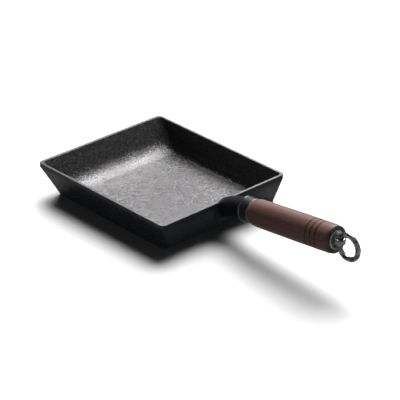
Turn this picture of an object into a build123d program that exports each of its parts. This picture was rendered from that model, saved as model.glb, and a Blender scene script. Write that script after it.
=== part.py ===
from build123d import *
import math
import os

# Rectangular cast iron omelette pan with a turned wooden handle and a hanging ring.
# The origin is the centre of the base's resting face, +Z is up and +X runs along the handle.

# Dish: the rim is the widest level, and the walls lean in from its band to the base
rim_length = 180.0
rim_width = 157.5
pan_height = 28.5
far_lean = 21.5
handle_lean = 5.2
side_lean = 6.5
rim_band = 4.0
rim_corner = 5.0
base_corner = 7.0
base_edge_round = 1.6
rim_flat = 2.8
rim_inner_corner = 4.0
wall_thickness = 3.4
floor_thickness = 3.2
floor_corner = 12.0
floor_round = 9.0

# Handle axis: it leaves the rim's outer edge just below the rim and rises along +X
handle_drop = 1.4
handle_tilt = 6.5

# Neck of the casting: round, its centre line sinking below the handle axis towards the dish
neck_length = 28.5
neck_inner_reach = 8.0
neck_sink = 5.6
neck_root_radius = 9.8
neck_end_radius = 11.3
neck_sections = 6
neck_headroom = 12.0

# Ferrule: a cup with a rolled bead at the neck's end
ferrule_length = 11.4
ferrule_radius = 11.8
ferrule_wall = 1.5
ferrule_floor = 2.0
bead_radius = 0.9
bead_stand_out = 0.6

# Grip: a shoulder at the front, a long shallow belly and a rounded end
grip_length = 102.5
grip_front_radius = 11.3
grip_shoulder_length = 7.5
grip_belly_radius = 13.5
grip_belly_place = 72.1
grip_belly_curve = 3600.0
grip_end_radius = 12.6
grip_end_length = 4.6
grip_end_bulge = 0.25
grip_shoulder_bulge = 0.45
tenon_clearance = 0.1
tenon_gap = 0.2
groove_count = 3
groove_margin = 14.2
groove_pitch = 5.9
groove_tool_radius = 0.8
groove_depth = 0.5

# End plate, and the dished washer on it with a raised round lip
plate_radius = 12.8
plate_thickness = 0.6
plate_edge_round = 0.3
washer_radius = 8.8
washer_edge = 0.4
washer_floor = 0.4
lip_radius = 7.9
lip_height = 0.8
lip_bulge = 0.15
dish_radius = 6.6

# Eye bolt: a long shank screwed into the neck, with a rounded eye that seats in the washer's dish
shank_radius = 4.0
shank_clearance = 0.3
thread_clearance = 0.05
thread_reach = 15.0
thread_gap = 1.0
eye_radius = 5.85
eye_height = 6.0
eye_back_wall = 0.4
eye_lean = 3.0

# Hanging ring: it leaves the eye at an angle below the horizontal
ring_radius = 11.4
ring_wire_radius = 2.45
ring_clearance = 0.5
ring_droop = 10.7

# Lengths and places that follow from the sizes above
base_length = rim_length - far_lean - handle_lean
base_width = rim_width - 2 * side_lean
rim_end = base_length / 2 + handle_lean
rim_middle = rim_end - rim_length / 2
ferrule_end = neck_length + ferrule_length
grip_end = ferrule_end + grip_length
groove_start = grip_end - groove_margin - (groove_count - 1) * groove_pitch
plate_end = grip_end + plate_thickness
eye_seat = plate_end + washer_floor
thread_start = neck_length - thread_reach
shank_bore_radius = shank_radius + shank_clearance
eye_hole_radius = ring_wire_radius + ring_clearance
eye_wall = eye_radius - eye_hole_radius
eye_place = eye_seat + eye_back_wall + eye_hole_radius

# On the handle axis, local Z runs out along the handle and local X points down
handle_axis = Location((rim_end, 0, pan_height - handle_drop), (0, 90 - handle_tilt, 0))

# In the eye's frame, local Z runs up through its hole, and in the ring's, up along the wire
eye_frame = handle_axis * Location((0, 0, eye_place), (0, handle_tilt + eye_lean - 90, 0))
ring_frame = eye_frame * Rotation(0, ring_droop - eye_lean, 0)


def level(length, width, middle, corner, height):
    return Pos(middle, 0, height) * RectangleRounded(length, width, corner)


def bottom_edges(solid):
    return solid.faces().sort_by(Axis.Z)[0].edges()


def dish_outside():
    base = level(base_length, base_width, 0, base_corner, 0)
    rim = level(rim_length, rim_width, rim_middle, rim_corner, pan_height)
    band = Pos(0, 0, -rim_band) * rim
    walls = loft([base, band], ruled=True)
    return fillet(bottom_edges(walls), base_edge_round) + extrude(band, rim_band)


def dish_inside():
    floor_length = base_length - 2 * wall_thickness
    floor_width = base_width - 2 * wall_thickness
    floor = level(floor_length, floor_width, 0, floor_corner, floor_thickness)
    inner_length = rim_length - 2 * rim_flat
    inner_width = rim_width - 2 * rim_flat
    mouth = level(inner_length, inner_width, rim_middle, rim_inner_corner, pan_height)
    well = loft([floor, mouth], ruled=True)
    return fillet(bottom_edges(well), floor_round) + extrude(mouth, neck_headroom)


def neck_section(along):
    share = along / neck_length
    sink = neck_sink * (1 - share) ** 2
    radius = neck_root_radius + (neck_end_radius - neck_root_radius) * share ** 4
    return Pos(sink, 0, along) * Circle(radius)


def neck():
    step = (neck_length + neck_inner_reach) / (neck_sections - 1)
    places = [step * index - neck_inner_reach for index in range(neck_sections)]
    return handle_axis * loft([neck_section(place) for place in places])


def rod(radius, start, end):
    return extrude(Pos(0, 0, start) * Circle(radius), end - start)


def pan_body():
    hole_start = thread_start - thread_gap
    hole = rod(shank_radius + thread_clearance, hole_start, neck_length)
    return dish_outside() + neck() - dish_inside() - handle_axis * hole


def at(radius, along):
    return (radius, 0, along)


def turned(*edges):
    return revolve(make_face(Wire(list(edges))), axis=Axis.Z)


def polyline(*points):
    return [Line(at(*start), at(*end)) for start, end in zip(points, points[1:])]


def arc(start, end, bulge):
    middle = ((start[0] + end[0]) / 2 + bulge, (start[1] + end[1]) / 2)
    return ThreePointArc(at(*start), at(*middle), at(*end))


def turned_ring(radius, along, wire_radius):
    section = Plane.XZ * Pos(radius, along) * Circle(wire_radius)
    return revolve(section, axis=Axis.Z)


def ferrule():
    bead_centre = ferrule_radius + bead_stand_out - bead_radius
    bead_place = neck_length + bead_radius
    cup = rod(ferrule_radius, neck_length, ferrule_end)
    bead = turned_ring(bead_centre, bead_place, bead_radius)
    pocket = rod(ferrule_radius - ferrule_wall, neck_length + ferrule_floor, ferrule_end)
    bore = rod(shank_bore_radius, neck_length, ferrule_end)
    return handle_axis * (cup + bead - pocket - bore)


def belly(along):
    offset = along - ferrule_end - grip_belly_place
    return grip_belly_radius - grip_belly_curve + math.sqrt(grip_belly_curve ** 2 - offset ** 2)


def grip():
    tenon_radius = ferrule_radius - ferrule_wall - tenon_clearance
    tenon_start = neck_length + ferrule_floor + tenon_gap
    belly_start = ferrule_end + grip_shoulder_length
    belly_end = grip_end - grip_end_length
    front = (grip_front_radius, ferrule_end)
    near_belly = (belly(belly_start), belly_start)
    middle = (belly_start + belly_end) / 2
    far_belly = (belly(belly_end), belly_end)
    back = (grip_end_radius, grip_end)
    bore_back = (shank_bore_radius, grip_end)
    bore_front = (shank_bore_radius, tenon_start)
    tenon_front = (tenon_radius, tenon_start)
    tenon_back = (tenon_radius, ferrule_end)
    body = turned(
        arc(front, near_belly, grip_shoulder_bulge),
        ThreePointArc(at(*near_belly), at(belly(middle), middle), at(*far_belly)),
        arc(far_belly, back, grip_end_bulge),
        *polyline(back, bore_back, bore_front, tenon_front, tenon_back, front),
    )
    for index in range(groove_count):
        place = groove_start + index * groove_pitch
        body -= turned_ring(belly(place) - groove_depth + groove_tool_radius, place, groove_tool_radius)
    return handle_axis * body


def end_plate():
    disc = rod(plate_radius, grip_end, plate_end)
    disc = fillet(disc.edges().sort_by(Axis.Z)[-1], plate_edge_round)
    return handle_axis * (disc - rod(shank_bore_radius, grip_end, plate_end))


def dished_washer():
    rim_low = (washer_radius, plate_end)
    rim_high = (washer_radius, plate_end + washer_edge)
    lip = (lip_radius, plate_end + lip_height)
    dish = (dish_radius, eye_seat)
    bore_high = (shank_bore_radius, eye_seat)
    bore_low = (shank_bore_radius, plate_end)
    washer = turned(
        *polyline(rim_low, rim_high),
        arc(rim_high, lip, lip_bulge),
        arc(lip, dish, -lip_bulge),
        *polyline(dish, bore_high, bore_low, rim_low),
    )
    return handle_axis * washer


def eye():
    section = Plane.XZ * Pos(eye_hole_radius + eye_wall / 2, 0) * Ellipse(eye_wall / 2, eye_height / 2)
    loop = eye_frame * revolve(section, axis=Axis.Z)
    behind_seat = rod(eye_radius + eye_height, eye_seat - eye_radius, eye_seat)
    return loop - handle_axis * behind_seat


def eye_bolt():
    shank = handle_axis * rod(shank_radius, thread_start, eye_seat)
    return shank + eye()


def hanging_ring():
    ring_axis = Axis((ring_radius, 0, 0), (0, 1, 0))
    return ring_frame * revolve(Circle(ring_wire_radius), axis=ring_axis)


nodes = {
    "pan_body": pan_body(),
    "ferrule": ferrule(),
    "grip": grip(),
    "end_plate": end_plate(),
    "dished_washer": dished_washer(),
    "eye_bolt": eye_bolt(),
    "hanging_ring": hanging_ring(),
}

os.makedirs("parts", exist_ok=True)
for name, shape in nodes.items():
    export_step(shape, f"parts/{name}.step")
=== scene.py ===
import bmesh
import bpy
import math
from mathutils import Matrix, Vector


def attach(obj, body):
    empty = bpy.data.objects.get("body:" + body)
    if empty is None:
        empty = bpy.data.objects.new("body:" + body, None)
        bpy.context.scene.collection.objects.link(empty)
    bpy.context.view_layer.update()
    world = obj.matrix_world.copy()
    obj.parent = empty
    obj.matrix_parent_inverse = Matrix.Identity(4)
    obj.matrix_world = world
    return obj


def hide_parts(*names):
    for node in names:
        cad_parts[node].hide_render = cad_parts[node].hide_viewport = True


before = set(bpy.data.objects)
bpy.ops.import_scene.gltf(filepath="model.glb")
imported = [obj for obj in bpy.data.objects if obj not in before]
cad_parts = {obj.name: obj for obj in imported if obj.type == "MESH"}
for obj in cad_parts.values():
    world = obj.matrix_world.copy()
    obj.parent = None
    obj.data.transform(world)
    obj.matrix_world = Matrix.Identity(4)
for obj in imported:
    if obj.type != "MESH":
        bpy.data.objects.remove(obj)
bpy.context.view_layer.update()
scene = bpy.context.scene
mm = 0.001


# camera: the photograph's angle
cameraView = {
    "azimuth": 47.074,
    "elevation": 27.616,
    "roll": 0.083,
    "distance": 1993.26,
    "aside": 37.599,        # from the rim's middle, along the picture's width
    "upward": -30.725,
    "middle": (-8.15, 0, 28.5),
    "focalShare": 2079.9 / 400,     # focal length over the picture's width
    "sensorWidth": 36,
    "clip": (0.05, 50),
}


def raised(across, ahead, height):
    return Vector((across * math.cos(height), ahead * math.cos(height), math.sin(height)))


def makeCamera():
    azimuth = math.radians(cameraView["azimuth"])
    elevation = math.radians(cameraView["elevation"])
    back = raised(math.sin(azimuth), -math.cos(azimuth), elevation)
    right = Vector((math.cos(azimuth), math.sin(azimuth), 0))
    up = back.cross(right)
    place = Vector(cameraView["middle"]) + back * cameraView["distance"]
    place += right * cameraView["aside"] + up * cameraView["upward"]
    camera = bpy.data.objects.new("camera", bpy.data.cameras.new("camera"))
    camera.data.sensor_width = cameraView["sensorWidth"]
    camera.data.lens = cameraView["sensorWidth"] * cameraView["focalShare"]
    camera.data.clip_start, camera.data.clip_end = cameraView["clip"]
    roll = Matrix.Rotation(math.radians(cameraView["roll"]), 3, "Z")
    turn = Matrix((right, up, back)).transposed() @ roll
    camera.matrix_world = Matrix.Translation(place * mm) @ turn.to_4x4()
    scene.collection.objects.link(camera)
    scene.camera = camera


makeCamera()
print("camera placed")


# node helpers: values are numbers, or sockets to link from
def addNode(tree, kind, values=None, **settings):
    node = tree.nodes.new(kind)
    for key, value in settings.items():
        setattr(node, key, value)
    for socket, value in (values or {}).items():
        if isinstance(value, bpy.types.NodeSocket):
            tree.links.new(value, node.inputs[socket])
        else:
            node.inputs[socket].default_value = value
    return node


def mathNode(tree, operation, *values):
    return addNode(tree, "ShaderNodeMath", dict(enumerate(values)), operation=operation).outputs[0]


def vectorNode(tree, operation, values, output="Vector"):
    return addNode(tree, "ShaderNodeVectorMath", values, operation=operation).outputs[output]


def rangeNode(tree, value, fromLow, fromHigh, toLow=0.0, toHigh=1.0):
    values = {"Value": value, "From Min": fromLow, "From Max": fromHigh, "To Min": toLow, "To Max": toHigh}
    return addNode(tree, "ShaderNodeMapRange", values).outputs["Result"]


def coordinates(tree, kind="Object"):
    return addNode(tree, "ShaderNodeTexCoord").outputs[kind]


def splitVector(tree, vector):
    return addNode(tree, "ShaderNodeSeparateXYZ", {"Vector": vector}).outputs


def flatVector(tree, split):
    return addNode(tree, "ShaderNodeCombineXYZ", {"X": split["X"], "Y": split["Y"]}).outputs[0]


def greyNode(tree, value):
    return addNode(tree, "ShaderNodeCombineColor", {"Red": value, "Green": value, "Blue": value}).outputs[0]


def rayKinds(tree):
    path = addNode(tree, "ShaderNodeLightPath").outputs
    seen = mathNode(tree, "MAXIMUM", path["Is Camera Ray"], path["Is Transmission Ray"])
    return seen, path["Is Glossy Ray"]


def colourMix(tree, share, first, second):
    node = addNode(tree, "ShaderNodeMix", data_type="RGBA")
    sockets = [socket for socket in node.inputs if socket.type == "RGBA"]
    for socket, value in ((node.inputs["Factor"], share), (sockets[0], first), (sockets[1], second)):
        if isinstance(value, bpy.types.NodeSocket):
            tree.links.new(value, socket)
        elif isinstance(value, tuple):
            socket.default_value = (*value, 1)
        else:
            socket.default_value = value
    return next(socket for socket in node.outputs if socket.type == "RGBA")


# studio: a white floor, a large soft lamp behind the far corner for the object, and one for the floor
studio = {
    "floorSize": 12.0,
    "floorSeen": 0.28,          # with its own lamp it is white to the eye
    "floorMirrored": 0.06,
    "floorGlow": (0.02, 0.18),  # seen in reflections alone, under the dish and on the handle's side
    "glowRamp": (0.07, 0.11),   # along X, from one to the other
    "glowColour": (0.88, 1.0, 1.08),
    "floorBounce": 0.055,       # what it gives back to the object
    "skyOverhead": (0.045, 0.045, 0.047),
    "skyLow": (0.15, 0.165, 0.185),
    "skyLowTop": 0.42,          # sine of the height at which the low band ends
    "skySeen": 1.0,
    "skyMirrored": 0.2,
    "skySide": (-0.4, 0.4),     # above the low band, reflections fade out towards -X
    "lampAim": (0.04, 0, 0.02),
    "lampGlow": 2.0,            # at a lamp's middle, fading to its edge
    "lampEdge": 0.5,            # of its width
}
keyLight = {
    "heading": 31.0,            # degrees from +Y towards -X
    "height": 47.0,
    "spread": 22.0,             # half its angle, as the object sees it
    "distance": 4.0,
    "watts": 282.0,
}
floorLight = {                  # lights the floor alone, and shapes the shadow on it
    "heading": 38.5,
    "height": 32.3,
    "spread": 28.5,
    "distance": 8.0,
    "watts": 7400.0,
}


def makeFloor():
    bpy.ops.mesh.primitive_plane_add(size=studio["floorSize"])
    floor = bpy.context.object
    floor.name = "floor"
    paint = bpy.data.materials.new("floorPaint")
    paint.use_nodes = True
    tree = paint.node_tree
    tree.nodes.remove(tree.nodes["Principled BSDF"])
    seen, glossy = rayKinds(tree)
    bounce = studio["floorBounce"]
    mirrored = mathNode(tree, "MULTIPLY_ADD", glossy, studio["floorMirrored"] - bounce, bounce)
    shade = mathNode(tree, "MULTIPLY_ADD", seen, studio["floorSeen"] - bounce, mirrored)
    board = addNode(tree, "ShaderNodeBsdfDiffuse", {"Color": greyNode(tree, shade)})
    along = splitVector(tree, coordinates(tree))["X"]
    strength = rangeNode(tree, along, *studio["glowRamp"], *studio["floorGlow"])
    strength = mathNode(tree, "MULTIPLY", glossy, strength)
    glow = addNode(tree, "ShaderNodeEmission", {"Color": (*studio["glowColour"], 1), "Strength": strength})
    both = addNode(tree, "ShaderNodeAddShader", {0: board.outputs[0], 1: glow.outputs[0]})
    tree.links.new(both.outputs[0], tree.nodes["Material Output"].inputs["Surface"])
    floor.data.materials.append(paint)
    return floor


def makeDiscLight(name, look):
    light = bpy.data.lights.new(name, "AREA")
    light.shape = "DISK"
    light.size = 2 * look["distance"] * math.tan(math.radians(look["spread"]))
    light.energy = look["watts"]
    light.use_nodes = True
    tree = light.node_tree
    spot = addNode(tree, "ShaderNodeNewGeometry").outputs["Parametric"]
    middle = vectorNode(tree, "SUBTRACT", {0: spot, 1: (0.5, 0.5, 0)})
    away = vectorNode(tree, "LENGTH", {0: middle}, "Value")
    glow, edge = studio["lampGlow"], studio["lampEdge"]
    fade = mathNode(tree, "MULTIPLY_ADD", mathNode(tree, "MULTIPLY", away, away), -glow / edge ** 2, glow)
    tree.links.new(mathNode(tree, "MAXIMUM", fade, 0.0), tree.nodes["Emission"].inputs["Strength"])
    lamp = bpy.data.objects.new(name, light)
    heading, height = math.radians(look["heading"]), math.radians(look["height"])
    towards = raised(-math.sin(heading), math.cos(heading), height)
    lamp.location = Vector(studio["lampAim"]) + towards * look["distance"]
    lamp.rotation_euler = towards.to_track_quat("Z", "Y").to_euler()
    lamp.visible_camera = False
    scene.collection.objects.link(lamp)
    return lamp


def makeSky():
    world = bpy.data.worlds.new("studioWorld")
    scene.world = world
    world.use_nodes = True
    tree = world.node_tree
    seen, glossy = rayKinds(tree)
    split = splitVector(tree, coordinates(tree, "Generated"))
    height = rangeNode(tree, split["Z"], 0.0, studio["skyLowTop"])
    sky = colourMix(tree, height, studio["skyLow"], studio["skyOverhead"])
    side = rangeNode(tree, split["X"], *studio["skySide"])
    side = mathNode(tree, "MAXIMUM", side, mathNode(tree, "SUBTRACT", 1.0, height))
    shown = mathNode(tree, "MULTIPLY", glossy, studio["skyMirrored"])
    shown = mathNode(tree, "MULTIPLY", shown, side)
    shown = mathNode(tree, "MULTIPLY_ADD", seen, studio["skySeen"], shown)
    total = vectorNode(tree, "ADD", {0: sky, 1: greyNode(tree, shown)})
    tree.links.new(total, tree.nodes["Background"].inputs["Color"])


def linkLight(lamp, floor, state):
    linked = bpy.data.collections.new(lamp.name + "Floor")
    linked.objects.link(floor)
    linked.collection_objects[0].light_linking.link_state = state
    lamp.light_linking.receiver_collection = linked


floor = makeFloor()
linkLight(makeDiscLight("keyLight", keyLight), floor, "EXCLUDE")
linkLight(makeDiscLight("floorLight", floorLight), floor, "INCLUDE")
makeSky()
scene.view_settings.view_transform = "Standard"
print("studio made")


# handle axis: it leaves the rim's outer edge just below the rim and rises along +X
handle = {
    "root": (81.85, 0, 27.1),
    "tilt": 6.5,
    "bore": 4.3,                # for the bolt, through the turned pieces
}
tilt = math.radians(handle["tilt"])
handleAlong = Vector((math.cos(tilt), 0, math.sin(tilt)))
handleDown = Vector((math.sin(tilt), 0, -math.cos(tilt)))
handleAcross = Vector((0, 1, 0))


def onHandle(along):
    return Vector(handle["root"]) + handleAlong * along


def aroundHandle(angle):
    return handleDown * math.cos(angle) + handleAcross * math.sin(angle)


def placement(middle, *axes):
    return Matrix.Translation(middle * mm) @ Matrix(axes).transposed().to_4x4()


handlePlace = placement(onHandle(0), -handleDown, -handleAcross, handleAlong)


# an input of a group is a name, a kind of socket and a default, or None
def newGroup(name, inputs, outputs, treeKind="ShaderNodeTree"):
    group = bpy.data.node_groups.new(name, treeKind)
    for label, kind, value in inputs:
        socket = group.interface.new_socket(label, in_out="INPUT", socket_type="NodeSocket" + kind)
        if value is not None:
            socket.default_value = value
    for label, kind in outputs:
        group.interface.new_socket(label, in_out="OUTPUT", socket_type="NodeSocket" + kind)
    return group, addNode(group, "NodeGroupInput").outputs, addNode(group, "NodeGroupOutput").inputs


def useGroup(tree, group, values=None):
    return addNode(tree, "ShaderNodeGroup", values, node_tree=group).outputs


# shader node groups shared by the finishes, and their settings: sizes are in millimetres
skins = {
    "sand": {"Detail": 3.0, "Roughness": 0.62},
    "pits": {"Smoothness": 0.6},
    "pitEdge": 0.45,
    "pitShare": 0.35,
    "glintStart": 0.75,         # the share of the grains that never glint
    "cloud": {"Detail": 5.0, "Roughness": 0.6, "Distortion": 0.4},
    "wander": {"Scale": 0.2, "Detail": 2.0},
    "cutDetail": 3.0,
}


def sizedTexture(tree, kind, size, values=None, **settings):
    placed = {"Vector": coordinates(tree), "Scale": mathNode(tree, "DIVIDE", 1 / mm, size)}
    return addNode(tree, kind, {**placed, **(values or {})}, **settings).outputs


def makeCastGrain():
    inputs = [("Grain Size", "Float", 0.9), ("Pit Size", "Float", 2.4)]
    group, given, result = newGroup("castGrain", inputs, [("Height", "Float")])
    sand = sizedTexture(group, "ShaderNodeTexNoise", given["Grain Size"], skins["sand"])
    size, look = given["Pit Size"], skins["pits"]
    pits = sizedTexture(group, "ShaderNodeTexVoronoi", size, look, feature="SMOOTH_F1")
    pitFloor = rangeNode(group, pits["Distance"], 0.0, skins["pitEdge"])
    height = mathNode(group, "MULTIPLY_ADD", pitFloor, skins["pitShare"], sand["Fac"])
    group.links.new(height, result["Height"])
    return group


def makeSandFacets():
    # every grain of the skin has a gloss of its own and leans its own way
    inputs = [("Facet Size", "Float", 1.3), ("Lean", "Float", 0.1), ("Glint", "Float", 0.5)]
    inputs.append(("Normal", "Vector", None))
    group, given, result = newGroup("sandFacets", inputs, [("Normal", "Vector"), ("Gloss", "Float")])
    cells = sizedTexture(group, "ShaderNodeTexVoronoi", given["Facet Size"])
    centred = vectorNode(group, "SUBTRACT", {0: cells["Color"], 1: (0.5, 0.5, 0.5)})
    draw = addNode(group, "ShaderNodeTexWhiteNoise", {"Vector": cells["Position"]}, noise_dimensions="3D")
    rare = rangeNode(group, draw.outputs["Value"], skins["glintStart"], 1.0)
    amount = mathNode(group, "MULTIPLY_ADD", rare, given["Glint"], given["Lean"])
    lean = vectorNode(group, "SCALE", {0: centred, "Scale": amount})
    tilted = vectorNode(group, "ADD", {0: given["Normal"], 1: lean})
    parts = addNode(group, "ShaderNodeSeparateColor", {"Color": cells["Color"]})
    group.links.new(vectorNode(group, "NORMALIZE", {0: tilted}), result["Normal"])
    group.links.new(parts.outputs["Green"], result["Gloss"])
    return group


def makeSmudges():
    inputs = [("Size", "Float", 20.0), ("Low", "Float", 0.35), ("High", "Float", 0.65)]
    group, given, result = newGroup("smudges", inputs, [("Mask", "Float")])
    cloud = sizedTexture(group, "ShaderNodeTexNoise", given["Size"], skins["cloud"])
    group.links.new(rangeNode(group, cloud["Fac"], given["Low"], given["High"]), result["Mask"])
    return group


def makeHandleCoordinates():
    outputs = [("Local", "Vector"), ("Along", "Float"), ("Radius", "Float")]
    group, given, result = newGroup("handleCoordinates", [], outputs)
    values = {
        "Vector": coordinates(group),
        "Location": Vector(handle["root"]) * mm,
        "Rotation": (0, math.pi / 2 - tilt, 0),
        "Scale": (mm, mm, mm),      # from here on, millimetres
    }
    local = addNode(group, "ShaderNodeMapping", values, vector_type="TEXTURE").outputs["Vector"]
    split = splitVector(group, local)
    group.links.new(local, result["Local"])
    group.links.new(split["Z"], result["Along"])
    group.links.new(vectorNode(group, "LENGTH", {0: flatVector(group, split)}, "Value"), result["Radius"])
    return group


def makeTurningMarks():
    inputs = [("Per Millimetre", "Float", 3.0), ("Wander", "Float", 0.15)]
    group, given, result = newGroup("turningMarks", inputs, [("Height", "Float")])
    place = useGroup(group, handleCoordinates)
    wander = addNode(group, "ShaderNodeTexNoise", {"Vector": place["Local"], **skins["wander"]})
    shift = mathNode(group, "MULTIPLY", wander.outputs["Fac"], given["Wander"])
    along = mathNode(group, "ADD", place["Along"], shift)
    spot = mathNode(group, "ADD", along, place["Radius"])
    values = {"W": spot, "Scale": given["Per Millimetre"], "Detail": skins["cutDetail"]}
    cut = addNode(group, "ShaderNodeTexNoise", values, noise_dimensions="1D")
    group.links.new(cut.outputs["Fac"], result["Height"])
    return group


castGrain = makeCastGrain()
sandFacets = makeSandFacets()
smudges = makeSmudges()
handleCoordinates = makeHandleCoordinates()
turningMarks = makeTurningMarks()
print("shader groups made")


def newMaterial(name):
    material = bpy.data.materials.new(name)
    material.use_nodes = True
    tree = material.node_tree
    return material, tree, tree.nodes["Principled BSDF"].inputs


def bumpNode(tree, height, distance, normal=None):
    bump = addNode(tree, "ShaderNodeBump", {"Height": height, "Strength": 1.0, "Distance": distance * mm})
    if normal is not None:
        tree.links.new(normal, bump.inputs["Normal"])
    return bump.outputs["Normal"]


def patchMask(tree, size, low, high):
    return useGroup(tree, smudges, {"Size": size, "Low": low, "High": high})["Mask"]


def skinNormal(tree, look, normal=None):
    # a grain, and over it turning marks where there are any
    grainSize, pitSize = look["grain"]
    grain = useGroup(tree, castGrain, {"Grain Size": grainSize, "Pit Size": pitSize})
    normal = bumpNode(tree, grain["Height"], look["grainDepth"], normal)
    if "marks" in look:
        often, wander = look["marks"]
        marks = useGroup(tree, turningMarks, {"Per Millimetre": often, "Wander": wander})
        normal = bumpNode(tree, marks["Height"], look["markDepth"], normal)
    return normal


# in every look, patches are a size and the noise's range, and a grain is its size and its pits' size

# seasoned cast iron: black, sandy, a little uneven in gloss
castIron = {
    "dark": (0.004, 0.004, 0.0043),
    "light": (0.05, 0.051, 0.053),
    "roughness": (0.24, 0.31),
    "specular": (0.38, 0.66),
    "specularTint": (1.0, 0.958, 0.985),
    "patches": (26.0, 0.38, 0.66),
    "waves": (60.0, 0.2, 0.8),
    "waveDepth": 0.3,
    "grain": (0.9, 2.4),
    "grainDepth": 0.3,
    "facetSize": 1.15,
    "facetLean": 0.1,
    "facetGlint": 0.3,
    "wallContrast": 0.3,        # the grains show most on the floor
    "wallFacing": (0.1, 0.8),   # the normal's Z, from wall to floor
    "neckStart": (-3.0, 3.0),   # along the handle, where the neck's look takes over
    "neckBase": (0.028, 0.0285, 0.031),
    "neckRoughness": 0.86,      # the neck was never rubbed bright
    "neckDull": 0.08,
}


def makeCastIron():
    material, tree, shader = newMaterial("castIron")
    look = castIron
    along = useGroup(tree, handleCoordinates)["Along"]
    onNeck = rangeNode(tree, along, *look["neckStart"])
    gloss = rangeNode(tree, patchMask(tree, *look["patches"]), 0.0, 1.0, *look["roughness"])
    rougher = mathNode(tree, "MULTIPLY", onNeck, look["neckRoughness"] - look["roughness"][0])
    tree.links.new(mathNode(tree, "ADD", gloss, rougher), shader["Roughness"])
    broad = bumpNode(tree, patchMask(tree, *look["waves"]), look["waveDepth"])
    facing = splitVector(tree, coordinates(tree, "Normal"))["Z"]
    contrast = rangeNode(tree, facing, *look["wallFacing"], look["wallContrast"], 1.0)
    facets = useGroup(tree, sandFacets, {
        "Facet Size": look["facetSize"],
        "Lean": mathNode(tree, "MULTIPLY", contrast, look["facetLean"]),
        "Glint": look["facetGlint"],
        "Normal": skinNormal(tree, look, broad),
    })
    centred = mathNode(tree, "SUBTRACT", facets["Gloss"], 0.5)
    drawn = mathNode(tree, "MULTIPLY_ADD", centred, contrast, 0.5)
    grains = colourMix(tree, drawn, look["dark"], look["light"])
    tree.links.new(colourMix(tree, onNeck, grains, look["neckBase"]), shader["Base Color"])
    shader["Specular Tint"].default_value = (*look["specularTint"], 1)
    tree.links.new(facets["Normal"], shader["Normal"])
    shine = rangeNode(tree, drawn, 0.0, 1.0, *look["specular"])
    dull = rangeNode(tree, onNeck, 0.0, 1.0, 1.0, look["neckDull"])
    tree.links.new(mathNode(tree, "MULTIPLY", shine, dull), shader["Specular IOR Level"])
    return material


# ferrule steel: pressed and turned, dulled to a lilac grey
ferruleSteel = {
    "dark": (0.03, 0.0295, 0.0295),
    "light": (0.052, 0.047, 0.049),
    "wearAndHighlight": (0.16, 0.156, 0.158),
    # a painted highlight: lighter steel at the mouth, a light line where the edge catches the light
    "lip": (0.3, 0.265, 0.275),
    "roughness": (0.44, 0.56),
    "beadRoughness": 0.18,
    "beadEnd": 30.4,
    "lipStart": 39.3,
    "edge": 0.3,                # how soon one part's look gives way to the next
    "metallic": 0.85,
    "patches": (7.0, 0.35, 0.65),
    "grain": (0.6, 2.5),
    "grainDepth": 0.05,
    "marks": (4.0, 0.2),        # how many in a millimetre, and how far they wander
    "markDepth": 0.04,
}


def makeFerruleSteel():
    material, tree, shader = newMaterial("ferruleSteel")
    look, edge = ferruleSteel, ferruleSteel["edge"]
    mask = patchMask(tree, *look["patches"])
    gloss = rangeNode(tree, mask, 0.0, 1.0, *look["roughness"])
    along = useGroup(tree, handleCoordinates)["Along"]
    offBead = rangeNode(tree, along, look["beadEnd"] - edge, look["beadEnd"], look["beadRoughness"], 1.0)
    # towards the mouth the steel turns lighter, a painted highlight line
    lipHighlightShare = rangeNode(tree, along, look["lipStart"], look["lipStart"] + edge)
    plain = colourMix(tree, mask, look["dark"], look["light"])
    steel = colourMix(tree, lipHighlightShare, plain, look["lip"])
    tree.links.new(colourMix(tree, offBead, look["wearAndHighlight"], steel), shader["Base Color"])
    tree.links.new(mathNode(tree, "MINIMUM", gloss, offBead), shader["Roughness"])
    shader["Metallic"].default_value = look["metallic"]
    tree.links.new(skinNormal(tree, look), shader["Normal"])
    return material


# grip wood: red-brown, oiled, its grain running along the handle
gripWood = {
    "deep": (0.076, 0.0445, 0.041),
    "warm": (0.19, 0.094, 0.079),
    "pale": (0.29, 0.155, 0.13),
    # painted shade inside the grooves
    "grooveShade": (0.095, 0.03, 0.026),
    "roughness": (0.44, 0.58),
    "specular": 0.22,
    # a painted highlight: the pale colour of the front edge's round
    "wearAndHighlight": (0.42, 0.29, 0.25),
    "highlightEnd": 41.2,            # along the handle: the front edge is painted pale up to here, a painted highlight on its round
    "highlightFade": 0.7,
    "highlightShare": 0.8,
    "highlightWander": 0.15,
    "stretch": 14.0,            # how much longer than wide the grain is
    "grainPlace": (3, 22, 0),
    "figure": {"Scale": 0.22, "Detail": 4.0, "Roughness": 0.55, "Distortion": 0.6},
    "figureRange": (0.3, 0.7),
    "rings": {"Scale": 0.16, "Distortion": 5.0, "Detail": 2.0, "Detail Scale": 0.5},
    "ringShare": 0.45,
    "fibre": {"Scale": 2.6, "Detail": 3.0, "Roughness": 0.6},
    "fibreRange": (0.3, 0.7),
    "deepRange": (0.5, 0.75),   # where in the fibre's noise the wood turns deep
    "deepShare": 0.6,
    "fibreDepth": 0.05,
}


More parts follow.
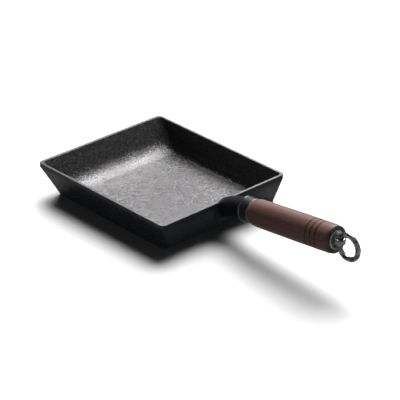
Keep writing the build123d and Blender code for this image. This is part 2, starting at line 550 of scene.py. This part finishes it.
def makeGripWood():
    material, tree, shader = newMaterial("gripWood")
    look = gripWood
    place = useGroup(tree, handleCoordinates)
    longGrain = addNode(tree, "ShaderNodeMapping", {
        "Vector": place["Local"],
        "Location": look["grainPlace"],
        "Scale": (1, 1, 1 / look["stretch"]),
    }).outputs[0]
    figure = addNode(tree, "ShaderNodeTexNoise", {"Vector": longGrain, **look["figure"]}).outputs["Fac"]
    rings = addNode(tree, "ShaderNodeTexWave", {"Vector": longGrain, **look["rings"]}, bands_direction="Y")
    fibre = addNode(tree, "ShaderNodeTexNoise", {"Vector": longGrain, **look["fibre"]}).outputs["Fac"]
    figureShare = rangeNode(tree, figure, *look["figureRange"])
    body = colourMix(tree, figureShare, look["warm"], look["pale"])
    ringShare = mathNode(tree, "MULTIPLY", rings.outputs["Fac"], look["ringShare"])
    body = colourMix(tree, ringShare, body, look["warm"])
    deepShare = rangeNode(tree, fibre, *look["deepRange"], 0.0, look["deepShare"])
    body = colourMix(tree, deepShare, body, look["deep"])
    # the grooves are darkened with painted shade
    groove = addNode(tree, "ShaderNodeAttribute", attribute_name="grooveShare")
    body = colourMix(tree, groove.outputs["Fac"], body, look["grooveShade"])
    # the pale band at the front edge is a painted highlight, ragged along the fibre
    wander, highlightEnd = look["highlightWander"], look["highlightEnd"]
    ragged = rangeNode(tree, fibre, *look["fibreRange"], -wander, wander)
    edge = mathNode(tree, "ADD", place["Along"], ragged)
    highlightShare = rangeNode(tree, edge, highlightEnd - look["highlightFade"], highlightEnd, look["highlightShare"], 0.0)
    tree.links.new(colourMix(tree, highlightShare, body, look["wearAndHighlight"]), shader["Base Color"])
    gloss = rangeNode(tree, fibre, *look["fibreRange"], *look["roughness"])
    tree.links.new(gloss, shader["Roughness"])
    shader["Specular IOR Level"].default_value = look["specular"]
    tree.links.new(bumpNode(tree, fibre, look["fibreDepth"]), shader["Normal"])
    return material


def makeMetal(name, look):
    material, tree, shader = newMaterial(name)
    mask = patchMask(tree, *look["patches"])
    tree.links.new(colourMix(tree, mask, look["dark"], look["light"]), shader["Base Color"])
    tree.links.new(rangeNode(tree, mask, 0.0, 1.0, *look["roughness"]), shader["Roughness"])
    if isinstance(look["metallic"], tuple):
        tree.links.new(rangeNode(tree, mask, 0.0, 1.0, *look["metallic"]), shader["Metallic"])
    else:
        shader["Metallic"].default_value = look["metallic"]
    tree.links.new(skinNormal(tree, look), shader["Normal"])
    return material


# the rim's top, ground flat and darkened again
groundRim = {
    "dark": (0.03, 0.031, 0.033),
    "light": (0.09, 0.09, 0.092),
    "roughness": (0.3, 0.42),
    "metallic": (0.2, 0.6),
    "patches": (9.0, 0.35, 0.65),
    "grain": (0.7, 3.0),
    "grainDepth": 0.03,
}
# black finish of the end plate
blackMetal = {
    "dark": (0.012, 0.012, 0.0125),
    "light": (0.03, 0.03, 0.03),
    "roughness": (0.26, 0.4),
    "metallic": 0.0,
    "patches": (6.0, 0.35, 0.65),
    "grain": (0.5, 1.6),
    "grainDepth": 0.04,
    "marks": (5.0, 0.1),
    "markDepth": 0.02,
}
# bare steel, darkened in patches: the bolt, the washer and the ring
bareSteel = {"metallic": 1.0, "grain": (0.5, 1.8)}
boltLook = {
    **bareSteel,
    "dark": (0.13, 0.128, 0.13),
    "light": (0.4, 0.395, 0.4),
    "roughness": (0.34, 0.2),
    "patches": (5.0, 0.35, 0.65),
    "grainDepth": 0.03,
}
washerLook = {
    **bareSteel,
    "dark": (0.2, 0.2, 0.2),
    "light": (0.58, 0.58, 0.575),
    "roughness": (0.52, 0.38),
    "patches": (4.0, 0.35, 0.62),
    "grainDepth": 0.03,
}
ringLook = {
    **bareSteel,
    "dark": (0.1, 0.097, 0.093),
    "light": (0.46, 0.45, 0.435),
    "roughness": (0.34, 0.25),
    "patches": (7.0, 0.42, 0.6),
    "grainDepth": 0.02,
}
materials = {
    "castIron": makeCastIron(),
    "groundRim": makeMetal("groundRim", groundRim),
    "ferruleSteel": makeFerruleSteel(),
    "gripWood": makeGripWood(),
    "blackMetal": makeMetal("blackMetal", blackMetal),
    "boltSteel": makeMetal("boltSteel", boltLook),
    "washerSteel": makeMetal("washerSteel", washerLook),
    "ringSteel": makeMetal("ringSteel", ringLook),
}
print("materials made")


def newObject(name, mesh):
    piece = bpy.data.objects.new(name, mesh)
    scene.collection.objects.link(piece)
    return piece


def plainMesh(piece):
    view = bpy.context.evaluated_depsgraph_get()
    return bpy.data.meshes.new_from_object(piece.evaluated_get(view), depsgraph=view)


def smoothByAngle(mesh, degrees):
    mesh.shade_smooth()
    mesh.set_sharp_from_angle(angle=math.radians(degrees))


def outward(mesh):
    shell = bmesh.new()
    shell.from_mesh(mesh)
    if shell.calc_volume(signed=True) < 0:
        bmesh.ops.reverse_faces(shell, faces=shell.faces)
    shell.to_mesh(mesh)
    shell.free()


def shellMesh(shell, name):
    mesh = bpy.data.meshes.new(name)
    shell.to_mesh(mesh)
    shell.free()
    outward(mesh)
    return mesh


def quarterTurn(steps):
    return [math.pi / 2 * step / steps for step in range(steps + 1)]


def bridge(shell, first, second, slot=0):
    count = len(first)
    for index in range(count):
        after = (index + 1) % count
        face = shell.faces.new((first[index], first[after], second[after], second[index]))
        face.material_index = slot


def bridgeAll(shell, loops):
    for first, second in zip(loops, loops[1:]):
        bridge(shell, first, second)


# pan: dish and neck are one casting
pan = {
    "height": 28.5,
    "rimFar": -98.15,
    "rimNear": 81.85,
    "rimSide": 78.75,
    "baseEnd": 76.65,
    "baseSide": 72.25,
    "rimCorner": 5.0,
    "baseCorner": 7.0,
    "baseRound": 1.6,
    "band": 4.0,                # upright band under the rim
    "rimRound": 0.45,
    "rimFlat": 2.8,
    "mouthRound": 0.35,
    "mouthCorner": 4.0,
    "floor": 3.2,
    "floorEnd": 73.25,
    "floorSide": 68.85,
    "floorCorner": 12.0,
    "farRound": 30.0,           # the far wall sweeps into the floor
    "nearRound": 9.0,
    "sideRound": 10.0,
    "roundSteps": (8, 4, 3),    # of the base's, the rim's and the mouth's round
    "baseTurn": 82,             # degrees of the base's round, to past where it meets the walls
    "cornerSteps": 10,
    "sideSteps": 12,
    "wallHeights": (3.0, 8.0, 13.0, 18.0),
    "bandMargin": 0.5,          # each side of where the band starts
    "wellTop": 0.97,            # heights inside, in shares of the rise: down the wall by steps
    "wellStep": 0.05,
    "wellSteps": 12,
    "coveTop": 0.4,             # and then in ever smaller steps to the floor
    "coveSteps": 16,
    "cornerPinch": 0.6,         # how far the corners close where the side's round draws in
    "sharpAngle": 38,
}
neck = {
    "length": 28.5,
    "sink": 5.6,
    "rootRadius": 9.8,
    "endRadius": 11.3,
    "endRound": 0.4,
    "innerPlane": 79.1,
    "innerRound": 0.9,
    "flare": 3.4,
    "flareReach": 7.0,
    "holeRadius": 4.05,
    "holeStart": 12.5,
    "holeBevel": 0.3,
    "innerLean": 0.2,           # how fast the inner end draws in below innerLeanTop
    "innerLeanTop": 27.0,
    "innerTries": 12,
    "flareEdge": 0.3,           # how soon the flare is whole, from none on the crest
    "flareEase": 1.5,
    "capShares": (0.25, 0.5, 0.75),
    "roundSteps": 3,
    "around": 64,
    "steps": 18,
    "crowding": 1.3,            # the sections stand closer near the dish
}
panMaterials = ("castIron", "groundRim")


def wallPlace(foot, lean, fillet, height):
    tangent = fillet * math.tan((math.pi / 2 - lean) / 2)
    if height < fillet * (1 - math.sin(lean)):
        return foot - tangent + math.sqrt(max(0.0, 2 * fillet * height - height * height))
    return foot + height * math.tan(lean)


def cornerLoop(shell, far, near, side, corner, height):
    steps, parts = pan["cornerSteps"], pan["sideSteps"] + 1
    middles = (
        (near - corner, side - corner),
        (far + corner, side - corner),
        (far + corner, corner - side),
        (near - corner, corner - side),
    )

    def turned(quarter, turns):
        x, y = middles[quarter % 4]
        angle = math.pi / 2 * turns
        return Vector((x + corner * math.cos(angle), y + corner * math.sin(angle), height))

    points = []
    for quarter in range(4):
        points += [turned(quarter, quarter + step / steps) for step in range(steps + 1)]
        start, stop = points[-1], turned(quarter + 1, quarter + 1)
        points += [start.lerp(stop, step / parts) for step in range(1, parts)]
    return [shell.verts.new(point * mm) for point in points]


def wallLeans(tops, feet, rise):
    return [math.atan2(top - foot, rise) for top, foot in zip(tops, feet)]


def outerLevels():
    bandStart = pan["height"] - pan["band"]
    tops = (-pan["rimFar"], pan["rimNear"], pan["rimSide"])
    feet = (pan["baseEnd"], pan["baseEnd"], pan["baseSide"])
    leans = wallLeans(tops, feet, bandStart)
    steps, levels = pan["roundSteps"][0], []
    for step in range(steps):
        turn = math.radians(pan["baseTurn"] * step / (steps - 1))
        levels.append(pan["baseRound"] * (1 - math.cos(turn)))
    levels += [*pan["wallHeights"], bandStart - pan["bandMargin"], bandStart]
    for height in levels:
        walls = zip(feet, leans)
        far, near, side = (wallPlace(foot, lean, pan["baseRound"], height) for foot, lean in walls)
        corner = pan["baseCorner"] + (pan["rimCorner"] - pan["baseCorner"]) * height / bandStart
        corner -= max(0.0, pan["baseSide"] + height * math.tan(leans[2]) - side)
        yield -far, near, side, corner, height


def rimLevels():
    top, turn = pan["height"], pan["rimRound"]
    far, near, side, corner = pan["rimFar"], pan["rimNear"], pan["rimSide"], pan["rimCorner"]
    yield far, near, side, corner, top - pan["band"] + pan["bandMargin"]
    for angle in quarterTurn(pan["roundSteps"][1]):
        inset = turn * (1 - math.cos(angle))
        height = top - turn + turn * math.sin(angle)
        yield far + inset, near - inset, side - inset, corner - inset, height


def innerLevels():
    rise = pan["height"] - pan["floor"]
    tops = [edge - pan["rimFlat"] for edge in (-pan["rimFar"], pan["rimNear"], pan["rimSide"])]
    feet = (pan["floorEnd"], pan["floorEnd"], pan["floorSide"])
    rounds = (pan["farRound"], pan["nearRound"], pan["sideRound"])
    leans = wallLeans(tops, feet, rise)
    turn = pan["mouthRound"]
    for angle in quarterTurn(pan["roundSteps"][2]):
        spread = turn * (1 - math.sin(angle))
        height = rise - turn * (1 - math.cos(angle))
        far, near, side = (foot + height * math.tan(lean) + spread for foot, lean in zip(feet, leans))
        yield -far, near, side, pan["mouthCorner"] + spread, pan["floor"] + height
    steps = pan["coveSteps"]
    heights = [rise * (pan["wellTop"] - pan["wellStep"] * step) for step in range(pan["wellSteps"])]
    heights += [rise * pan["coveTop"] * (1 - step / steps) ** 2 for step in range(1, steps)] + [0.0]
    for height in heights:
        walls = zip(feet, leans, rounds)
        far, near, side = (wallPlace(foot, lean, fillet, height) for foot, lean, fillet in walls)
        inset = max(0.0, pan["floorSide"] + height * math.tan(leans[2]) - side)
        corner = pan["floorCorner"] + (pan["mouthCorner"] - pan["floorCorner"]) * height / rise
        corner = max(pan["mouthCorner"], corner - pan["cornerPinch"] * inset)
        yield -far, near, side, corner, pan["floor"] + height


def dishMesh():
    shell = bmesh.new()
    outer = [cornerLoop(shell, *level) for level in outerLevels()]
    outer += [cornerLoop(shell, *level) for level in rimLevels()]
    inner = [cornerLoop(shell, *level) for level in innerLevels()]
    shell.faces.new(reversed(outer[0]))
    bridgeAll(shell, outer)
    bridge(shell, outer[-1], inner[0], panMaterials.index("groundRim"))
    bridgeAll(shell, inner)
    shell.faces.new(inner[-1])
    return shellMesh(shell, "dish")


def neckPoint(along, angle, share=1.0, inset=0.0):
    ratio = along / neck["length"]
    middle = onHandle(along) + handleDown * neck["sink"] * (1 - ratio) ** 2
    radius = neck["rootRadius"] + (neck["endRadius"] - neck["rootRadius"]) * max(0.0, ratio) ** 4
    outwards = aroundHandle(angle)
    point = middle + outwards * radius
    climb = min(1.0, point.z / (pan["height"] - pan["band"]))
    wall = pan["baseEnd"] + (pan["rimNear"] - pan["baseEnd"]) * climb
    clear = max(0.0, point.x - wall)
    spread = min(1.0, (max(0.0, 1 + math.cos(angle)) / neck["flareEdge"]) ** neck["flareEase"])
    flare = neck["flare"] * max(0.0, 1 - clear / neck["flareReach"]) ** 2 * spread
    sideways = Vector((0, outwards.y, min(0.0, outwards.z)))
    if sideways.length > 0:
        sideways.normalize()
    return middle + (outwards * (radius - inset) + sideways * flare) * share


def neckInnerEnd(angle, share=1.0, inset=0.0):
    along = 0.0
    for attempt in range(neck["innerTries"]):
        point = neckPoint(along, angle, share, inset)
        plane = neck["innerPlane"] - neck["innerLean"] * max(0.0, neck["innerLeanTop"] - point.z)
        along += (plane - point.x) / handleAlong.x
    return along


def neckMesh():
    shell = bmesh.new()
    angles = [2 * math.pi * step / neck["around"] for step in range(neck["around"])]
    loops = []

    def addLoop(place):
        loops.append([shell.verts.new(place(angle) * mm) for angle in angles])

    for share in neck["capShares"]:
        addLoop(lambda angle: neckPoint(neckInnerEnd(angle, share), angle, share))
    for bend in quarterTurn(neck["roundSteps"]):
        inset = neck["innerRound"] * (1 - math.sin(bend))
        ahead = neck["innerRound"] * (1 - math.cos(bend))
        addLoop(lambda angle: neckPoint(neckInnerEnd(angle, 1, inset) + ahead, angle, 1, inset))
    endStart = neck["length"] - neck["endRound"]
    for step in range(1, neck["steps"] + 1):
        part = (step / neck["steps"]) ** neck["crowding"]

        def stretch(angle):
            start = neckInnerEnd(angle) + neck["innerRound"]
            return neckPoint(start + (endStart - start) * part, angle)

        addLoop(stretch)
    for bend in quarterTurn(neck["roundSteps"])[1:]:
        inset = neck["endRound"] * (1 - math.cos(bend))
        place = endStart + neck["endRound"] * math.sin(bend)
        addLoop(lambda angle: neckPoint(place, angle, 1, inset))
    hole, bevel, end = neck["holeRadius"], neck["holeBevel"], neck["length"]
    for radius, along in ((hole + bevel, end), (hole, end - bevel), (hole, neck["holeStart"])):
        addLoop(lambda angle: onHandle(along) + aroundHandle(angle) * radius)
    bridgeAll(shell, loops)
    shell.faces.new(reversed(loops[0]))
    shell.faces.new(loops[-1])
    return shellMesh(shell, "neck")


def makePanBody():
    dish, stem = newObject("dish", dishMesh()), newObject("stem", neckMesh())
    for piece in (dish, stem):
        for name in panMaterials:
            piece.data.materials.append(materials[name])
    union = dish.modifiers.new("union", "BOOLEAN")
    union.operation = "UNION"
    union.solver = "EXACT"
    union.object = stem
    mesh = plainMesh(dish)
    for piece in (dish, stem):
        bpy.data.objects.remove(piece)
    mesh.name = "panBody"
    smoothByAngle(mesh, pan["sharpAngle"])
    body = newObject("panBody", mesh)
    body.modifiers.new("weights", "WEIGHTED_NORMAL").keep_sharp = True
    finished = plainMesh(body)
    body.modifiers.clear()
    body.data = finished
    finished.name = "panBody"
    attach(body, "pan")
    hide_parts("pan_body")


makePanBody()
print("pan body made")


# turned pieces: one tree sweeps a closed section round an axis and cuts grooves in it
lathe = {
    "segments": 96,
    "railRadius": 1.0,          # of the circle that carries the section
    "sharpAngle": 40,
}


def makeTurnedTree():
    inputs = [
        ("Section", "Geometry", None),
        ("Segments", "Int", lathe["segments"]),
        ("Rail Radius", "Float", lathe["railRadius"] * mm),
        ("Groove First", "Float", 0.0),
        ("Groove Pitch", "Float", 0.006),
        ("Groove Count", "Int", 0),
        ("Groove Depth", "Float", 0.0005),
        ("Tool Radius", "Float", 0.0008),
        ("Groove Inside", "Float", 0.01),
        ("Finish", "Material", None),
    ]
    outputs = [("Geometry", "Geometry")]
    tree, given, result = newGroup("turnedPiece", inputs, outputs, "GeometryNodeTree")
    section = addNode(tree, "GeometryNodeMeshToCurve", {"Mesh": given["Section"]})
    circle = {"Resolution": given["Segments"], "Radius": given["Rail Radius"]}
    rail = addNode(tree, "GeometryNodeCurvePrimitiveCircle", circle, mode="RADIUS")
    curves = {"Curve": rail.outputs["Curve"], "Profile Curve": section.outputs["Curve"]}
    sweep = addNode(tree, "GeometryNodeCurveToMesh", curves)
    split = splitVector(tree, addNode(tree, "GeometryNodeInputPosition").outputs[0])
    flat = flatVector(tree, split)
    radius = vectorNode(tree, "LENGTH", {0: flat}, "Value")
    away = vectorNode(tree, "NORMALIZE", {0: flat})
    fromFirst = mathNode(tree, "SUBTRACT", split["Z"], given["Groove First"])
    halfPitch = mathNode(tree, "MULTIPLY", given["Groove Pitch"], 0.5)
    halfBefore = mathNode(tree, "MULTIPLY", halfPitch, -1.0)
    nearest = mathNode(tree, "PINGPONG", fromFirst, halfPitch)
    span = mathNode(tree, "MULTIPLY_ADD", given["Groove Count"], given["Groove Pitch"], halfBefore)
    afterFirst = mathNode(tree, "GREATER_THAN", fromFirst, halfBefore)
    beforeLast = mathNode(tree, "LESS_THAN", fromFirst, span)
    outside = mathNode(tree, "GREATER_THAN", radius, given["Groove Inside"])
    inRange = mathNode(tree, "MULTIPLY", mathNode(tree, "MULTIPLY", afterFirst, beforeLast), outside)
    toolSquare = mathNode(tree, "MULTIPLY", given["Tool Radius"], given["Tool Radius"])
    under = mathNode(tree, "SUBTRACT", toolSquare, mathNode(tree, "MULTIPLY", nearest, nearest))
    bite = mathNode(tree, "SQRT", mathNode(tree, "MAXIMUM", under, 0.0))
    standOff = mathNode(tree, "SUBTRACT", given["Tool Radius"], given["Groove Depth"])
    depth = mathNode(tree, "MAXIMUM", mathNode(tree, "SUBTRACT", bite, standOff), 0.0)
    depth = mathNode(tree, "MULTIPLY", depth, inRange)
    doubled = mathNode(tree, "MULTIPLY", depth, 2.0)
    share = mathNode(tree, "MINIMUM", mathNode(tree, "DIVIDE", doubled, given["Groove Depth"]), 1.0)
    # the groove's share goes to the wood, which darkens the grooves with painted shade
    values = {"Geometry": sweep.outputs["Mesh"], "Name": "grooveShare", "Value": share}
    stored = addNode(tree, "GeometryNodeStoreNamedAttribute", values, data_type="FLOAT", domain="POINT")
    inward = vectorNode(tree, "SCALE", {0: away, "Scale": mathNode(tree, "MULTIPLY", depth, -1.0)})
    values = {"Geometry": stored.outputs["Geometry"], "Offset": inward}
    cut = addNode(tree, "GeometryNodeSetPosition", values)
    real = addNode(tree, "GeometryNodeRealizeInstances", {"Geometry": cut.outputs["Geometry"]})
    values = {"Geometry": real.outputs["Geometry"], "Material": given["Finish"]}
    painted = addNode(tree, "GeometryNodeSetMaterial", values)
    tree.links.new(painted.outputs["Geometry"], result["Geometry"])
    return tree


turnedTree = makeTurnedTree()


def sectionMesh(points):
    mesh = bpy.data.meshes.new("section")
    count = len(points)
    corners = [((radius - lathe["railRadius"]) * mm, -along * mm, 0) for radius, along in points]
    mesh.from_pydata(corners, [(index, (index + 1) % count) for index in range(count)], [])
    return mesh


def turnedPiece(name, points, place, finish, inputs=None, sharp=lathe["sharpAngle"]):
    blank = newObject(name + "Blank", sectionMesh(points))
    turning = blank.modifiers.new("lathe", "NODES")
    turning.node_group = turnedTree
    values = {"Finish": materials[finish], **(inputs or {})}
    for item in turnedTree.interface.items_tree:
        if item.in_out == "INPUT" and item.name in values:
            turning[item.identifier] = values[item.name]
    mesh = plainMesh(blank)
    bpy.data.objects.remove(blank)
    mesh.name = name
    mesh.transform(place)
    outward(mesh)
    smoothByAngle(mesh, sharp)
    return newObject(name, mesh)


def bowed(start, stop, bulge, steps):
    # points after start on the curve that bulges from the straight line by so much radius
    middle = ((start[0] + stop[0]) / 2 + bulge, (start[1] + stop[1]) / 2)
    corners = (start, middle, stop)
    points = []
    for step in range(1, steps + 1):
        part = step / steps
        weights = ((1 - part) * (1 - 2 * part), 4 * part * (1 - part), part * (2 * part - 1))
        pairs = list(zip(weights, corners))
        points.append(tuple(sum(weight * corner[axis] for weight, corner in pairs) for axis in (0, 1)))
    return points


def turnedCorner(radius, along, size, fromAngle, toAngle, steps=4):
    # a round of one size about its own centre, angles from the outward direction towards +along
    points = []
    for step in range(steps + 1):
        angle = math.radians(fromAngle + (toAngle - fromAngle) * step / steps)
        points.append((radius + size * math.cos(angle), along + size * math.sin(angle)))
    return points


# ferrule: a steel cup with a rolled bead at the neck's end
ferrule = {
    "start": 28.5,
    "end": 39.9,
    "radius": 11.8,
    "wall": 1.5,
    "floor": 2.0,
    "bead": 0.9,
    "standOut": 0.6,
    "lipRound": 0.35,
    "beadSteps": 14,
    "beadLift": 0.05,           # the bead's round ends this much above the cup
    "beadFoot": ((0.02, 0.12), (0.0, 0.4)),     # and runs out this high, this far behind it
    "lipMargin": 3.0,
}


def makeFerrule():
    bead, radius, bore = ferrule["bead"], ferrule["radius"], handle["bore"]
    start, end, lip = ferrule["start"], ferrule["end"], ferrule["lipRound"]
    beadMiddle = radius + ferrule["standOut"] - bead
    beadPlace = start + bead
    inner, floorTop = radius - ferrule["wall"], start + ferrule["floor"]
    foot = math.degrees(math.acos((radius + ferrule["beadLift"] - beadMiddle) / bead))
    points = [(bore, start)]
    points += turnedCorner(beadMiddle, beadPlace, bead, -90, foot, ferrule["beadSteps"])
    points += [(radius + high, beadPlace + bead + behind) for high, behind in ferrule["beadFoot"]]
    points += [(radius, end - ferrule["lipMargin"])]
    points += turnedCorner(radius - lip, end - lip, lip, 0, 90)
    points += [(inner, end), (inner, floorTop), (bore, floorTop)]
    piece = turnedPiece("ferruleCup", points, handlePlace, "ferruleSteel")
    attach(piece, "pan")
    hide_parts("ferrule")


# grip: a shoulder at the front, a long shallow belly, three grooves darkened with painted shade and a
# rounded end
grip = {
    "start": 39.9,
    "end": 142.4,
    "frontRadius": 11.2,
    "frontBevel": 0.6,
    "shoulder": 7.5,
    "shoulderBulge": 0.3,
    "bellyRadius": 13.5,
    "bellyPlace": 112.0,
    "bellyCurve": 3600.0,
    "endRadius": 12.6,
    "endLength": 4.6,
    "endBulge": 0.25,
    "tenonRadius": 10.2,
    "tenonStart": 30.7,
    "backRound": 0.3,
    "grooveFirst": 116.4,
    "groovePitch": 5.9,
    "grooveCount": 3,
    "grooveDepth": 0.5,
    "toolRadius": 0.8,
    "bellySteps": 46,
    "shoulderSteps": 14,
    "endSteps": 8,
    "backTurn": (0.1, 0.08),    # the back round's middle point, in from the side and the end
    "grooveClear": 1.0,         # so near to a groove's middle the sections stand closer
    "grooveStep": 0.11,
    "grooveSteps": 9,
}


def bellyAt(along):
    offset = along - grip["bellyPlace"]
    return grip["bellyRadius"] - grip["bellyCurve"] + math.sqrt(grip["bellyCurve"] ** 2 - offset ** 2)


def bellyStations(start, end):
    steps, close = grip["bellySteps"], grip["grooveSteps"]
    stations = {round(start + (end - start) * step / steps, 3) for step in range(1, steps + 1)}
    for index in range(grip["grooveCount"]):
        middle = grip["grooveFirst"] + index * grip["groovePitch"]
        stations = {place for place in stations if abs(place - middle) > grip["grooveClear"]}
        stations |= {round(middle + grip["grooveStep"] * step, 3) for step in range(-close, close + 1)}
    return sorted(stations)


def makeGrip():
    start, end, bore = grip["start"], grip["end"], handle["bore"]
    bellyStart, bellyEnd = start + grip["shoulder"], end - grip["endLength"]
    front, bevel = grip["frontRadius"], grip["frontBevel"]
    back, backRound, (inwards, before) = grip["endRadius"], grip["backRound"], grip["backTurn"]
    tenon, tenonStart = grip["tenonRadius"], grip["tenonStart"]
    points = [(front, start), (front + bevel, start + bevel)]
    belly = (bellyAt(bellyStart), bellyStart)
    points += bowed(points[-1], belly, grip["shoulderBulge"], grip["shoulderSteps"])
    points += [(bellyAt(place), place) for place in bellyStations(bellyStart, bellyEnd)]
    points += bowed(points[-1], (back, end - backRound), grip["endBulge"], grip["endSteps"])
    points += [(back - inwards, end - before), (back - backRound, end)]
    points += [(bore, end), (bore, tenonStart), (tenon, tenonStart), (tenon, start)]
    grooves = {
        "Groove First": grip["grooveFirst"] * mm,
        "Groove Pitch": grip["groovePitch"] * mm,
        "Groove Count": grip["grooveCount"],
        "Groove Depth": grip["grooveDepth"] * mm,
        "Tool Radius": grip["toolRadius"] * mm,
    }
    piece = turnedPiece("woodGrip", points, handlePlace, "gripWood", grooves)
    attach(piece, "pan")
    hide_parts("grip")


# end plate and the dished washer on it
endPlate = {
    "start": 142.4,
    "end": 143.0,
    "radius": 12.8,
    "edgeRound": 0.3,
    "lowRound": 0.15,
    "faceMargin": 2.5,
    "roundSteps": (2, 5),
}
dishedWasher = {
    "start": 143.0,
    "radius": 8.8,
    "edge": 0.4,
    "floor": 0.4,
    "lipRadius": 7.9,
    "lipHeight": 0.8,
    "lipBulge": 0.15,
    "lipSteps": 6,
    "dishRadius": 6.6,
    "sharpAngle": 60,
}


def makeEndPlate():
    size, low, radius = endPlate["edgeRound"], endPlate["lowRound"], endPlate["radius"]
    start, end, bore = endPlate["start"], endPlate["end"], handle["bore"]
    lowSteps, highSteps = endPlate["roundSteps"]
    points = [(bore, start)]
    points += turnedCorner(radius - low, start + low, low, -90, 0, lowSteps)
    points += turnedCorner(radius - size, end - size, size, 0, 90, highSteps)
    points += [(radius - endPlate["faceMargin"], end), (bore, end)]
    piece = turnedPiece("endPlate", points, handlePlace, "blackMetal")
    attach(piece, "pan")
    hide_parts("end_plate")


def makeDishedWasher():
    low, bore, radius = dishedWasher["start"], handle["bore"], dishedWasher["radius"]
    bulge, steps = dishedWasher["lipBulge"], dishedWasher["lipSteps"]
    lip = (dishedWasher["lipRadius"], low + dishedWasher["lipHeight"])
    seat = (dishedWasher["dishRadius"], low + dishedWasher["floor"])
    rimHigh = (radius, low + dishedWasher["edge"])
    points = [(bore, low), (radius, low), rimHigh]
    points += bowed(rimHigh, lip, bulge, steps)
    points += bowed(lip, seat, -bulge, steps)
    points += [(bore, seat[1])]
    sharp = dishedWasher["sharpAngle"]
    piece = turnedPiece("dishedWasher", points, handlePlace, "washerSteel", sharp=sharp)
    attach(piece, "pan")
    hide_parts("dished_washer")


# hanging ring: it leaves the eye at an angle below the horizontal
hangingRing = {
    "eye": (227.6567, 0, 43.7126),
    "radius": 11.4,
    "wireRadius": 2.45,
    "droop": 10.7,
    "around": 28,
    "sharpAngle": 60,
}


def makeHangingRing():
    radius, wire = hangingRing["radius"], hangingRing["wireRadius"]
    droop = math.radians(hangingRing["droop"])
    forward = Vector((math.cos(droop), 0, -math.sin(droop)))
    upright = Vector((math.sin(droop), 0, math.cos(droop)))
    middle = Vector(hangingRing["eye"]) + forward * radius
    place = placement(middle, forward, -upright, Vector((0, 1, 0)))
    points = []
    for step in range(hangingRing["around"]):
        angle = 2 * math.pi * step / hangingRing["around"]
        points.append((radius + wire * math.cos(angle), wire * math.sin(angle)))
    piece = turnedPiece("hangingRing", points, place, "ringSteel", sharp=hangingRing["sharpAngle"])
    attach(piece, "ring")
    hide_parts("hanging_ring")


makeFerrule()
makeGrip()
makeEndPlate()
makeDishedWasher()
makeHangingRing()
print("turned pieces made")

# the bolt keeps its CAD shape
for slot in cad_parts["eye_bolt"].material_slots:
    slot.material = materials["boltSteel"]
print("bolt dressed")
